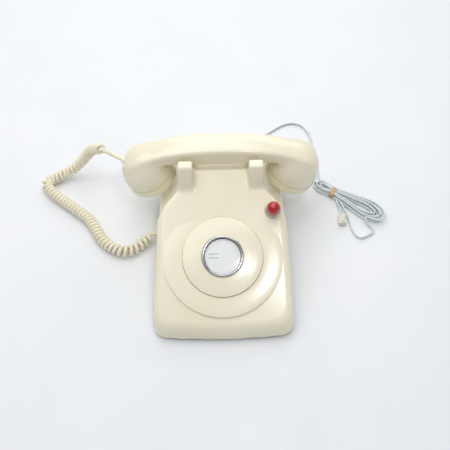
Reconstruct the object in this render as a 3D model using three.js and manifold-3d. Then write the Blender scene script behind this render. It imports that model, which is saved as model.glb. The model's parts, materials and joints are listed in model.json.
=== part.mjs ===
// Dial-less desk telephone with a lamp, a handset on a curly cord and a modular line cord.
// Millimetres, +Z up, the table top is z = 0, the front of the telephone faces -Y.

import * as THREE from 'three';
import { mergeVertices } from 'three/addons/utils/BufferGeometryUtils.js';
import Module from 'manifold-3d';

const wasm = await Module();
wasm.setup();

// ---------------------------------------------------------------- driving dimensions

const BODY_DEPTH = 240;          // front lip to rear wall
const BODY_WIDTH = 164;          // across the base
const REAR_WIDTH = 154;          // across the base at the rear wall
const BASE_CORNER = 15;          // corner radius of the base outline
const FRONT_BOW = 3;             // how far the front edge bows forward
const SIDE_DRAFT = 0.07;         // how far the side walls lean in, per mm of height
const WALL = 3;                  // shell thickness
const SHELL_BOTTOM = 3;          // lower edge of the shell above the table
const NOSE_BACK = 15;            // front lip to the start of the sloping face
const NOSE_HEIGHT = 27;
const FACE_SLOPE = 23;           // degrees
const CREST_BACK = 180;          // front lip to the top of the sloping face

const NECK_HALF = 50;            // half width of the neck that carries the cradle
const FLANK_HALF = 75;           // half width where the shoulders start
const FLANK_BACK = 127;          // front lip to the start of the shoulders
const SHOULDER_HALF = 68;        // half width at the corner of the shoulders
const SHOULDER_BACK = 141;       // front lip to the corner of the shoulders
const NECK_BACK = 156;           // front lip to the end of the shoulders
const SCOOP_HIGH = 60;           // height of the scooped sides next to the neck
const SCOOP_FALL = 0.7;          // how steeply they fall outwards

const EAR_INNER = 32.7;          // inner faces of the cradle ears
const EAR_INSET = 0.2;           // outer faces of the ears inside the neck's sides
const EAR_TOP = 116;
const EAR_THICK = 11.5;
const EAR_LEAN = 9;
const FRONT_EAR_GAP = 5.5;       // handle to the front ears
const REAR_EAR_GAP = 3;          // handle to the rear ears
const REAR_EAR_TOP = 103;
const REAR_FALL = 10;             // how far the saddle falls behind the handle
const TROUGH_FLOOR = 76;         // carrying recess between the ears
const TROUGH_LEAD = 1;           // how far the recess cuts in front of the crest

const BOSS_BACK = 80;            // front lip to the centre of the round boss
const BOSS_RADIUS = 70;
const BOSS_SLOPE = 21.4;         // degrees, a little flatter than the face
const BOSS_RISE = 1.4;           // boss centre above the face
const BLANK_RADIUS = 46.6;       // dial blank
const BLANK_RISE = 2;
const BLANK_CROWN = 2;           // middle of the blank above its edge
const BLANK_THICK = 8;
const CARD_RADIUS = 20.4;
const RING_LIP = 0.2;            // how far the chrome ring laps over the card
const RING_WIDTH = 4.3;
const CARD_DEPTH = 2.6;          // top of the card below the blank's crown

const LAMP_X = 60;
const LAMP_BACK = 130;           // front lip to the lamp
const LAMP_RADIUS = 6.7;         // stem of the lens
const DOME_RADIUS = 7.9;
const LAMP_HEIGHT = 21;
const BEZEL_WIDTH = 3.05;
const BEZEL_HEIGHT = 5;

const HANDLE_BACK = 196.5;       // front lip to the handle's middle line
const HANDLE_WIDTH = 31;
const HANDLE_THICK = 26;
const HANDLE_BOTTOM = 98;
const HANDLE_ARCH = 7;           // how far the underside of the handle's ends hangs below its middle
const BACK_ARCH = 24;            // the same for its upper side
const HANDLE_OVERHANG = 22;      // centre of each cap face to the end of the handle
const CUP_CLEARANCE = 4.042;     // neck to the nearest edge of each cap
const CUP_Z = 56;                // height of each cap face
const CUP_TILT = 18;             // degrees, the two cap faces lean towards each other
const CAP_RADIUS = 31.5;
const CAP_HEIGHT = 12;
const CAP_LIP = 0.5;             // how far the cap stands proud of the cup
const CUP_WALL = 3.5;
const CAP_FLOOR = 3.4;           // inner face of the cap above its outer face
const CAPSULE_GAP = 1.7;
const CAPSULE_THICK = 13;
const CUP_DOME = 39;             // height of the cup above its seam
const GLAND_RADIUS = 3.6;        // strain relief on the handset
const GLAND_LENGTH = 9;
const GLAND_Z = 92;

const PLUNGER_RADIUS = 3.5;
const LEVER_Z = 62;
const PIN_BACK = 150;            // front lip to the hook lever's pin
const PIN_RADIUS = 1.5;

const BASE_THICK = 1.5;
const FOOT_RADIUS = 7;
const FOOT_HEIGHT = 3.7;
const FOOT_INSET = 20;           // side wall to the centre of each front foot
const REAR_FOOT_INSET = 15;      // side wall to the centre of each rear foot
const FOOT_SETBACK = 26;         // front lip or rear wall to the centre of each foot
const SCREW_FRONT = 30;          // front lip to the front screw
const SCREW_REAR = 14;           // rear wall to the rear screw
const SCREW_RADIUS = 2;
const POST_RADIUS = 5;

const GONG_RADIUS = 24;
const GONG_HEIGHT = 13;
const GONG_SPACING = 6;          // middle of the ringer to the rim of each gong
const GONG_LIFT = 12;            // rim of the gongs above the base plate
const RINGER_FRONT = 162;        // front lip to the front edge of the ringer's frame
const GONG_WALL = 1.5;
const CLAPPER_ARM = 16.5;
const CLAPPER_PIN_RADIUS = 1.2;
const WINDING_RADIUS = 8;
const WINDING_GAP = 4;           // line of the gongs' rims to the winding's axis

const ENTRY_BACK = 142;          // front lip to the curly cord's grommet
const ENTRY_Z = 12;
const ENTRY_RADIUS = 3;
const LINE_EXIT_X = 30;
const LINE_EXIT_Z = 12;
const LINE_GROMMET_RADIUS = 4;
const GROMMET_GAP = 0.4;

const COIL_RADIUS = 7.5;         // outer radius of the curly cord's helix
const LEAD_RADIUS = 2.4;
const LINE_RADIUS = 2.4;         // half the flat cord's width
const HANK_THICK = 8;
const PLUG_SIZE = [9.65, 14, 7];

const GAP = 0.35;                // clearance between pieces that meet
const SLIDE_GAP = 0.6;           // clearance round pieces that slide

// ---------------------------------------------------------------- derived sizes

const FRONT = -BODY_DEPTH / 2;
const REAR = BODY_DEPTH / 2;
const along = (back) => FRONT + back;
const SLOPE = THREE.MathUtils.degToRad(FACE_SLOPE);
const faceZ = (y) => NOSE_HEIGHT + (y - along(NOSE_BACK)) * Math.tan(SLOPE);
const CREST_Z = faceZ(along(CREST_BACK));
const HANDLE_Y = along(HANDLE_BACK);
const EAR_OUTER = NECK_HALF - EAR_INSET;
const PLUNGER_X = (EAR_INNER + EAR_OUTER) / 2;
const RING_BORE = CARD_RADIUS - RING_LIP;
const RING_RADIUS = RING_BORE + RING_WIDTH;
const BEZEL_RADIUS = LAMP_RADIUS + BEZEL_WIDTH;
const CUP_RADIUS = CAP_RADIUS - CAP_LIP;
const CUP_BORE = CUP_RADIUS - CUP_WALL;
const CAPSULE_RADIUS = CUP_BORE - CAPSULE_GAP;
const SEAM = CAP_HEIGHT + GAP;
const GONG_X = GONG_RADIUS + GONG_SPACING;
const BASE_Z = FOOT_HEIGHT + GAP;
const FLOOR_Z = BASE_Z + BASE_THICK;
const CUP_ANGLE = THREE.MathUtils.degToRad(CUP_TILT);
const CUP_X = NECK_HALF + CUP_CLEARANCE + CAP_RADIUS * Math.cos(CUP_ANGLE);
const HANDLE_REACH = CUP_X + HANDLE_OVERHANG;
const SADDLE_Z = HANDLE_BOTTOM - 1;
const PIN_Y = along(PIN_BACK);
const CURLY_ENTRY = [-(BODY_WIDTH / 2) - 1, along(ENTRY_BACK), ENTRY_Z];
const LINE_EXIT = [LINE_EXIT_X, REAR, LINE_EXIT_Z];

// ---------------------------------------------------------------- materials

const finish = (color, roughness, metalness = 0, opacity = 1) => new THREE.MeshStandardMaterial({
  color, roughness, metalness, opacity, transparent: opacity < 1,
});
const IVORY = finish(0xe9dfbd, 0.28);
const IVORY_CORD = finish(0xe3cf9f, 0.42);
const CHROME = finish(0xd5d5d6, 0.12, 1);
const CARD = finish(0xeef0ee, 0.6);
const CLEAR = finish(0xf4f6f6, 0.05, 0, 0.3);
const RED = finish(0xb5121c, 0.12);
const BLACK = finish(0x222222, 0.5);
const STEEL = finish(0x9b9ea0, 0.4, 0.9);
const BRASS = finish(0xb08d4a, 0.3, 1);
const COPPER = finish(0x9a5a30, 0.4, 0.7);
const RUBBER = finish(0x3a3a38, 0.85);
const SILVER_CORD = finish(0xa9adab, 0.45);
const PLUG_PLASTIC = finish(0xdcd8c8, 0.2);
const TAN = finish(0xc09a6b, 0.6);

// ---------------------------------------------------------------- helpers

const phone = new THREE.Group();

function addMesh(name, geometry, material, parent = phone) {
  const mesh = new THREE.Mesh(geometry, material);
  mesh.name = name;
  parent.add(mesh);
  return mesh;
}

function toSolid(geometry) {
  const bare = geometry.clone();
  bare.deleteAttribute('normal');
  bare.deleteAttribute('uv');
  const merged = mergeVertices(bare, 1e-4);
  return new wasm.Manifold(new wasm.Mesh({
    numProp: 3,
    vertProperties: new Float32Array(merged.attributes.position.array),
    triVerts: new Uint32Array(merged.index.array),
  }));
}

function toGeometry(solid) {
  const mesh = solid.getMesh();
  const geometry = new THREE.BufferGeometry();
  geometry.setAttribute('position', new THREE.BufferAttribute(mesh.vertProperties, mesh.numProp));
  geometry.setIndex(new THREE.BufferAttribute(mesh.triVerts, 1));
  geometry.computeVertexNormals();
  return geometry;
}

// Moves every vertex of a geometry by a rule.
function warp(geometry, rule) {
  const place = geometry.attributes.position;
  const point = new THREE.Vector3();
  for (let i = 0; i < place.count; i += 1) {
    point.fromBufferAttribute(place, i);
    rule(point);
    place.setXYZ(i, point.x, point.y, point.z);
  }
  return geometry;
}

// Plan outline raised from one height to another.
function raised(shape, low, high, curveSegments = 8) {
  const geometry = new THREE.ExtrudeGeometry(shape, { depth: high - low, bevelEnabled: false, curveSegments });
  return geometry.translate(0, 0, low);
}

// Side outline, drawn as (y, z), stretched along X.
function sideways(shape, left, right, steps = 1, curveSegments = 6) {
  const geometry = new THREE.ExtrudeGeometry(shape, {
    depth: right - left, bevelEnabled: false, steps, curveSegments,
  });
  geometry.rotateY(Math.PI / 2);
  geometry.rotateX(Math.PI / 2);
  return geometry.translate(left, 0, 0);
}

function polygon(points) {
  return new THREE.Shape(points.map(([a, b]) => new THREE.Vector2(a, b)));
}

function block(x, y, z, width, depth, height) {
  return new THREE.BoxGeometry(width, depth, height).translate(x, y, z + height / 2);
}

// Upright round bar standing on z.
function bar(x, y, z, radius, height, sides = 20) {
  const geometry = new THREE.CylinderGeometry(radius, radius, height, sides);
  return geometry.rotateX(Math.PI / 2).translate(x, y, z + height / 2);
}

// Round bar lying along X or Y.
function lyingBar(axis, x, y, z, radius, length, sides = 16) {
  const geometry = new THREE.CylinderGeometry(radius, radius, length, sides);
  if (axis === 'x') geometry.rotateZ(Math.PI / 2);
  return geometry.translate(x, y, z);
}

// Turned piece: pairs of radius and height; it turns round Z.
function turned(profile, sides = 24) {
  const points = profile.map(([radius, height]) => new THREE.Vector2(radius, height));
  return new THREE.LatheGeometry(points, sides).rotateX(Math.PI / 2);
}

// Ring or tube with a plain rectangular section, round Z.
function sleeve(inner, outer, low, high, sides = 24) {
  return turned([[inner, low], [outer, low], [outer, high], [inner, high], [inner, low]], sides);
}

function cordTube(points, radius, steps, sides) {
  const path = new THREE.CatmullRomCurve3(points.map(([x, y, z]) => new THREE.Vector3(x, y, z)));
  const section = new THREE.Shape();
  for (let i = 0; i < sides; i += 1) {
    const angle = (2 * Math.PI * (i + 0.5)) / sides;
    const [a, b] = [radius * Math.cos(angle), radius * Math.sin(angle)];
    if (i === 0) section.moveTo(a, b);
    else section.lineTo(a, b);
  }
  return new THREE.ExtrudeGeometry(section, { steps, bevelEnabled: false, extrudePath: path });
}

function cut(geometry, ...tools) {
  return toGeometry(tools.reduce((left, tool) => left.subtract(toSolid(tool)), toSolid(geometry)));
}

function join(...geometries) {
  return toGeometry(geometries.map(toSolid).reduce((sum, next) => sum.add(next)));
}

// A group lying on the sloping face, its own Z along the face's normal.
function onFace(x, back, slope = FACE_SLOPE, rise = 0) {
  const group = new THREE.Group();
  const y = along(back);
  group.position.set(x, y, faceZ(y) + rise);
  group.rotation.x = THREE.MathUtils.degToRad(slope);
  phone.add(group);
  return group;
}

// The same placement for a cutting tool.
function ontoFace(geometry, x, back, slope = FACE_SLOPE, rise = 0) {
  const y = along(back);
  return geometry.rotateX(THREE.MathUtils.degToRad(slope)).translate(x, y, faceZ(y) + rise);
}

// ---------------------------------------------------------------- housing

function planOutline(inset) {
  const w = BODY_WIDTH / 2 - inset;
  const rearW = REAR_WIDTH / 2 - inset;
  const front = FRONT + inset;
  const rear = REAR - inset;
  const r = Math.max(BASE_CORNER - inset, 2);
  const shape = new THREE.Shape();
  shape.moveTo(-w + r, front + FRONT_BOW);
  shape.quadraticCurveTo(0, front - FRONT_BOW, w - r, front + FRONT_BOW);
  shape.quadraticCurveTo(w, front + FRONT_BOW, w, front + FRONT_BOW + r);
  shape.quadraticCurveTo(w, 0, rearW, rear - r);
  shape.quadraticCurveTo(rearW, rear, rearW - r, rear);
  shape.lineTo(-rearW + r, rear);
  shape.quadraticCurveTo(-rearW, rear, -rearW, rear - r);
  shape.quadraticCurveTo(-w, 0, -w, front + FRONT_BOW + r);
  shape.quadraticCurveTo(-w, front + FRONT_BOW, -w + r, front + FRONT_BOW);
  return shape;
}

function sideOutline(inset) {
  const low = inset > 0 ? -1 : SHELL_BOTTOM;
  const drop = inset / Math.cos(SLOPE);
  const front = FRONT + inset;
  const rear = REAR - inset;
  const crest = along(CREST_BACK);
  const shape = new THREE.Shape();
  shape.moveTo(front, low);
  shape.lineTo(front + 2, NOSE_HEIGHT - 9 - drop);
  shape.quadraticCurveTo(front + 3.5, NOSE_HEIGHT - 2.5 - drop, along(NOSE_BACK) + inset / 2,
    faceZ(along(NOSE_BACK) + inset / 2) - drop);
  shape.lineTo(crest, CREST_Z - drop);
  const edge = SADDLE_Z - REAR_FALL - inset;
  shape.lineTo(HANDLE_Y + HANDLE_WIDTH / 2 + 8, SADDLE_Z - inset);
  shape.lineTo(rear - 9, edge);
  shape.quadraticCurveTo(rear - 2, edge - 1, rear - 2, edge - 9);
  shape.lineTo(rear, low);
  return shape;
}

function wedge(inset) {
  const lean = (point) => {
    point.x *= 1 - (SIDE_DRAFT * Math.max(point.z, 0)) / (BODY_WIDTH / 2);
  };
  const plan = warp(raised(planOutline(inset), inset > 0 ? -2 : SHELL_BOTTOM, 130, 6), lean);
  return toSolid(sideways(sideOutline(inset), -BODY_WIDTH, BODY_WIDTH)).intersect(toSolid(plan));
}

// Everything beside the neck and above the falling sides, one side of the telephone.
function sideScoop(side, inset) {
  const neck = NECK_HALF - inset;
  const far = BODY_WIDTH;
  const shape = polygon([
    [neck, along(NECK_BACK) - inset],
    [SHOULDER_HALF - inset / 2, along(SHOULDER_BACK) - inset],
    [FLANK_HALF, along(FLANK_BACK) - inset],
    [far, along(FLANK_BACK) - inset],
    [far, REAR + 20],
    [neck, REAR + 20],
  ]);
  const fall = (point) => {
    if (point.z < 80) point.z -= (point.x - NECK_HALF) * SCOOP_FALL;
    point.x *= side;
  };
  const scoop = warp(raised(shape, SCOOP_HIGH - inset, 140), fall);
  return side > 0 ? scoop : flipped(scoop);
}

// Turns the faces of a mirrored geometry back outwards.
function flipped(geometry) {
  const merged = geometry.index ? geometry : mergeVertices(geometry);
  const index = merged.index.array;
  for (let i = 0; i < index.length; i += 3) {
    [index[i], index[i + 2]] = [index[i + 2], index[i]];
  }
  return merged;
}

function trough(inset) {
  const half = EAR_INNER + inset;
  const start = along(CREST_BACK) - TROUGH_LEAD - inset;
  return block(0, (start + REAR + 20) / 2, TROUGH_FLOOR - inset, 2 * half, REAR + 20 - start, 80);
}

function frontEar(side) {
  const foot = HANDLE_Y - HANDLE_WIDTH / 2 - FRONT_EAR_GAP - EAR_THICK - EAR_LEAN;
  const shape = polygon([
    [foot - 2, faceZ(foot) - 8],
    [foot + EAR_LEAN, EAR_TOP],
    [foot + EAR_LEAN + EAR_THICK, EAR_TOP],
    [foot + EAR_LEAN + EAR_THICK + 1, SADDLE_Z - 4],
  ]);
  const [left, right] = side > 0 ? [EAR_INNER, EAR_OUTER] : [-EAR_OUTER, -EAR_INNER];
  return sideways(shape, left, right);
}

function rearEar(side) {
  const front = HANDLE_Y + HANDLE_WIDTH / 2 + REAR_EAR_GAP;
  const shape = polygon([
    [front, SADDLE_Z - 9],
    [front + 1, REAR_EAR_TOP],
    [front + 3.5, REAR_EAR_TOP],
    [front + 12, SADDLE_Z - 9],
  ]);
  const [left, right] = side > 0 ? [EAR_INNER, EAR_OUTER] : [-EAR_OUTER, -EAR_INNER];
  return sideways(shape, left, right);
}

// Place of each base screw and the height of the shell above it.
function screwPlaces() {
  return [[0, along(SCREW_FRONT), faceZ(along(SCREW_FRONT))], [0, REAR - SCREW_REAR, TROUGH_FLOOR]];
}

function makeHousing() {
  let outer = wedge(0);
  let inner = wedge(WALL);
  for (const side of [-1, 1]) {
    outer = outer.subtract(toSolid(sideScoop(side, 0)));
    inner = inner.subtract(toSolid(sideScoop(side, WALL)));
  }
  outer = outer.subtract(toSolid(trough(0)));
  inner = inner.subtract(toSolid(trough(WALL)));
  for (const side of [-1, 1]) {
    outer = outer.add(toSolid(frontEar(side))).add(toSolid(rearEar(side)));
  }
  const boss = ontoFace(bar(0, 0, -8, BOSS_RADIUS, 8, 48), 0, BOSS_BACK, BOSS_SLOPE, BOSS_RISE);
  outer = outer.add(toSolid(boss));
  let shell = outer.subtract(inner);
  for (const [x, y, roof] of screwPlaces()) {
    const height = roof - WALL / 2 - FLOOR_Z;
    shell = shell.add(toSolid(bar(x, y, FLOOR_Z + GAP, POST_RADIUS, height, 16)));
    shell = shell.subtract(toSolid(bar(x, y, 0, SCREW_RADIUS + GAP, 18, 16)));
  }
  shell = shell.subtract(inner.intersect(toSolid(block(0, 0, -5, 400, 400, FLOOR_Z + GAP + 5))));
  const dialHole = bar(0, 0, -30, BLANK_RADIUS + GAP, 60, 48);
  shell = shell.subtract(toSolid(ontoFace(dialHole, 0, BOSS_BACK, BOSS_SLOPE, BOSS_RISE)));
  const lampHole = bar(0, 0, -20, LAMP_RADIUS + GAP, 40, 24);
  shell = shell.subtract(toSolid(ontoFace(lampHole, LAMP_X, LAMP_BACK)));
  for (const side of [-1, 1]) {
    const hole = bar(side * PLUNGER_X, HANDLE_Y, 60, PLUNGER_RADIUS + SLIDE_GAP, 60, 20);
    shell = shell.subtract(toSolid(hole));
  }
  const entry = lyingBar('x', CURLY_ENTRY[0], CURLY_ENTRY[1], CURLY_ENTRY[2], ENTRY_RADIUS + GROMMET_GAP, 30);
  const exit = lyingBar('y', LINE_EXIT[0], REAR, LINE_EXIT[2], LINE_GROMMET_RADIUS + GROMMET_GAP, 30);
  shell = shell.subtract(toSolid(entry)).subtract(toSolid(exit));
  addMesh('housing', toGeometry(shell), IVORY);
}

// ---------------------------------------------------------------- base

function makeBase() {
  const outline = planOutline(WALL + GAP + 1.2);
  const holes = screwPlaces().map(([x, y]) => bar(x, y, 0, SCREW_RADIUS + GAP, 20, 16));
  const plate = raised(outline, BASE_Z, BASE_Z + BASE_THICK, 6);
  addMesh('base_plate', cut(plate, ...holes), STEEL);
  const ends = { front: [-1, BODY_WIDTH / 2 - FOOT_INSET], rear: [1, REAR_WIDTH / 2 - REAR_FOOT_INSET] };
  for (const [endName, [end, x]] of Object.entries(ends)) {
    for (const [sideName, side] of [['left', -1], ['right', 1]]) {
      const foot = turned([[0, 0], [FOOT_RADIUS - 1, 0], [FOOT_RADIUS, FOOT_HEIGHT], [0, FOOT_HEIGHT]], 24);
      foot.translate(side * x, end * (BODY_DEPTH / 2 - FOOT_SETBACK), 0);
      addMesh(`foot_${endName}_${sideName}`, foot, RUBBER);
    }
  }
  const names = ['base_screw_front', 'base_screw_rear'];
  screwPlaces().forEach(([x, y], i) => {
    const top = BASE_Z - GAP;
    const screw = turned([[0, 1.2], [3.8, 1.2], [3.8, top], [SCREW_RADIUS, top], [SCREW_RADIUS, 16], [0, 16]], 16);
    addMesh(names[i], screw.translate(x, y, 0), STEEL);
  });
}

// ---------------------------------------------------------------- card and dial blank

function makeDialBlank() {
  const group = onFace(0, BOSS_BACK, BOSS_SLOPE, BOSS_RISE);
  const bore = CARD_RADIUS + 1 + 2 * GAP;
  const crown = BLANK_RISE + BLANK_CROWN;
  const under = BLANK_RISE - BLANK_THICK;
  const blank = turned([
    [bore, under], [BLANK_RADIUS, under], [BLANK_RADIUS, BLANK_RISE - 1],
    [BLANK_RADIUS - 1, BLANK_RISE], [RING_RADIUS, crown], [bore, crown], [bore, under],
  ], 48);
  addMesh('dial_blank', blank, IVORY, group);
  const ring = turned([
    [RING_BORE, crown + GAP], [RING_RADIUS, crown + GAP], [RING_RADIUS - 0.4, crown + 1.2],
    [RING_RADIUS - 1.8, crown + 1.9], [RING_BORE + 0.8, crown + 1.6], [RING_BORE, crown + GAP],
  ], 32);
  addMesh('card_ring', ring, CHROME, group);
  const cupWall = CARD_RADIUS + GAP;
  const level = crown - CARD_DEPTH;
  const cup = turned([
    [0, under - 2], [cupWall + 1, under - 2], [cupWall + 1, crown - GAP],
    [cupWall, crown - GAP], [cupWall, level - 1.2], [0, level - 1.2],
  ], 32);
  addMesh('card_cup', cup, BLACK, group);
  addMesh('number_card', bar(0, 0, level - 0.85, CARD_RADIUS - GAP, 0.6, 32), CARD, group);
  addMesh('card_window', bar(0, 0, level + 0.1, CARD_RADIUS - GAP, 1, 32), CLEAR, group);
}

// ---------------------------------------------------------------- lamp

function makeLamp() {
  const group = onFace(LAMP_X, LAMP_BACK);
  const bezel = turned([
    [LAMP_RADIUS + GAP, GAP], [BEZEL_RADIUS, GAP], [BEZEL_RADIUS, 1.8], [LAMP_RADIUS + 1.4, BEZEL_HEIGHT],
    [LAMP_RADIUS + GAP, BEZEL_HEIGHT], [LAMP_RADIUS + GAP, GAP],
  ], 32);
  addMesh('lamp_bezel', bezel, CHROME, group);
  const middle = LAMP_HEIGHT - DOME_RADIUS;
  const bore = LAMP_RADIUS - 1.5;
  const under = BEZEL_HEIGHT + GAP;
  const [outer, inner] = [[], []];
  for (let i = 0; i <= 5; i += 1) {
    const angle = (Math.PI / 2) * (i / 5);
    const [across, up] = i < 5 ? [Math.cos(angle), Math.sin(angle)] : [0, 1];
    outer.push([DOME_RADIUS * across, middle + DOME_RADIUS * up]);
    inner.unshift([bore * across, middle + bore * up]);
  }
  const lens = turned([...inner, [bore, 0.5], [LAMP_RADIUS, 0.5], [LAMP_RADIUS, under], [DOME_RADIUS, under],
    ...outer], 24);
  addMesh('lamp_lens', lens, RED, group);
  const bulb = turned([[0, 0.9], [2.6, 0.9], [2.6, 5], [3.2, 7], [2, 9.6], [0, 10.2]], 16);
  addMesh('lamp_bulb', bulb, CLEAR, group);
  addMesh('lamp_socket', bar(0, 0, -14, LAMP_RADIUS - 0.6, 14.2, 20), BLACK, group);
  addMesh('lamp_nut', sleeve(LAMP_RADIUS, LAMP_RADIUS + 1.2, -6.6, -WALL - 1.2, 16), STEEL, group);
}

// ---------------------------------------------------------------- hook switch

function makeHookSwitch() {
  const barY = HANDLE_Y;
  const reach = NECK_HALF - WALL - 1.5;
  for (const [name, side] of [['plunger_left', -1], ['plunger_right', 1]]) {
    const foot = LEVER_Z + 3 + GAP;
    const top = HANDLE_BOTTOM - GAP;
    const stem = turned([
      [0, foot], [PLUNGER_RADIUS, foot], [PLUNGER_RADIUS, top - 1], [PLUNGER_RADIUS - 1, top], [0, top],
    ], 20);
    addMesh(name, stem.translate(side * PLUNGER_X, barY, 0), IVORY);
  }
  const pinHole = lyingBar('x', 0, PIN_Y, LEVER_Z, PIN_RADIUS + GAP, 120);
  const arms = [-1, 1].map((side) => block(side * 26, (PIN_Y + barY) / 2, LEVER_Z - 3, 4, barY - PIN_Y + 12, 6));
  const crossBar = block(0, barY, LEVER_Z - 3, 2 * reach, 7, 6);
  addMesh('hook_lever', cut(join(crossBar, ...arms), pinHole), STEEL);
  addMesh('hook_pin', lyingBar('x', 0, PIN_Y, LEVER_Z, PIN_RADIUS, 76, 16), STEEL);
  const cheeks = [-1, 1].map((side) => block(side * 32, PIN_Y, FLOOR_Z + GAP, 3, 18, LEVER_Z + 5 - FLOOR_Z));
  const foot = block(0, PIN_Y, FLOOR_Z + GAP, 67, 18, 2);
  addMesh('hook_bracket', cut(join(foot, ...cheeks), pinHole), STEEL);
  const spring = sleeve(2.2, 3.4, FLOOR_Z + 3 + GAP, LEVER_Z - 3 - GAP, 12);
  addMesh('hook_spring', spring.translate(26, PIN_Y + 14, 0), STEEL);
  const stack = join(
    block(0, PIN_Y, FLOOR_Z + 2 + 2 * GAP, 22, 12, 34),
    block(0, PIN_Y - 2, FLOOR_Z + 34, 16, 3, 16),
    block(0, PIN_Y + 3, FLOOR_Z + 34, 16, 1.2, 14),
  );
  addMesh('contact_stack', stack, BRASS);
}

// ---------------------------------------------------------------- ringer and network

function makeRinger() {
  const front = along(RINGER_FRONT);
  const windingY = front + 2 + WINDING_RADIUS;
  const y = windingY + WINDING_GAP + GONG_RADIUS;
  const rim = FLOOR_Z + GONG_LIFT;
  const post = GONG_LIFT + GONG_HEIGHT - GONG_WALL - GAP - 1;
  const strip = y + 10 - front;
  const frame = join(
    block(0, y, FLOOR_Z + GAP, 2 * GONG_X + 32, 20, 2.5),
    block(0, front + strip / 2, FLOOR_Z + GAP, 30, strip, 2.5),
    bar(-GONG_X, y, FLOOR_Z + 1, 4, post, 16),
    bar(GONG_X, y, FLOOR_Z + 1, 4, post, 16),
  );
  addMesh('ringer_frame', frame, STEEL);
  for (const [name, side] of [['left', -1], ['right', 1]]) {
    const r = GONG_RADIUS;
    const top = rim + GONG_HEIGHT;
    const gong = turned([
      [r, rim], [r, rim + 5], [r - 5, top - 2], [r - 10, top], [3, top],
      [3, top - GONG_WALL], [r - 10.5, top - GONG_WALL], [r - 5.6, top - 2 - GONG_WALL],
      [r - GONG_WALL, rim + 4.5], [r - GONG_WALL, rim], [r, rim],
    ], 20);
    addMesh(`gong_${name}`, gong.translate(side * GONG_X, y, 0), BRASS);
    const screw = turned([
      [0, top + GAP], [4.5, top + GAP], [4.5, top + 1.6], [3.5, top + 2.4], [0, top + 2.4],
    ], 16);
    addMesh(`gong_screw_${name}`, screw.translate(side * GONG_X, y, 0), STEEL);
  }
  const coil = lyingBar('x', 0, windingY, FLOOR_Z + 4 + WINDING_RADIUS, WINDING_RADIUS, 30, 20);
  addMesh('ringer_coil', coil, COPPER);
  const pinY = y - CLAPPER_ARM;
  const clapper = join(
    block(0, y - CLAPPER_ARM / 2, rim + 5.5, 1.6, CLAPPER_ARM, 1.6),
    lyingBar('x', 0, y, rim + 6.3, 3, 5.2, 12),
    bar(0, pinY, rim + 4.5, 2.6, 3.6, 12),
  );
  const pinFoot = FLOOR_Z + 2.5 + 2 * GAP;
  const pinHole = bar(0, pinY, rim, CLAPPER_PIN_RADIUS + GAP, 20, 12);
  addMesh('clapper', cut(clapper, pinHole), BRASS);
  addMesh('clapper_pin', bar(0, pinY, pinFoot, CLAPPER_PIN_RADIUS, rim + 10 - pinFoot, 12), STEEL);
}

function makeNetwork() {
  const boxY = along(98);
  const top = FLOOR_Z + GAP + 24;
  addMesh('network_box', block(-20, boxY, FLOOR_Z + GAP, 64, 46, 24), STEEL);
  addMesh('terminal_strip', terminals(-20, boxY, top + GAP), BLACK);
  addMesh('capacitor', lyingBar('y', 34, boxY, FLOOR_Z + GAP + 9, 9, 42, 24), SILVER_CORD);
}

function terminals(x, y, z) {
  const studs = [];
  for (let i = -3; i <= 3; i += 1) studs.push(bar(x + i * 7, y, z + 2, 2.2, 3.5, 10));
  return join(block(x, y, z, 54, 12, 3), ...studs);
}

// ---------------------------------------------------------------- handset

function cupGroup(side) {
  const group = new THREE.Group();
  group.position.set(side * CUP_X, HANDLE_Y, CUP_Z);
  group.rotation.y = side * CUP_ANGLE;
  phone.add(group);
  return group;
}

function ontoCup(geometry, side) {
  return geometry.rotateY(side * CUP_ANGLE).translate(side * CUP_X, HANDLE_Y, CUP_Z);
}

function handleSection() {
  const [w, t, r] = [HANDLE_WIDTH / 2, HANDLE_THICK / 2, 9];
  const shape = new THREE.Shape();
  shape.moveTo(-w + r, -t);
  shape.lineTo(w - r, -t);
  shape.absarc(w - r, -t + r, r, -Math.PI / 2, 0, false);
  shape.absarc(w - r, t - r, r, 0, Math.PI / 2, false);
  shape.absarc(-w + r, t - r, r, Math.PI / 2, Math.PI, false);
  shape.absarc(-w + r, -t + r, r, Math.PI, 1.5 * Math.PI, false);
  return shape;
}

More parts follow.
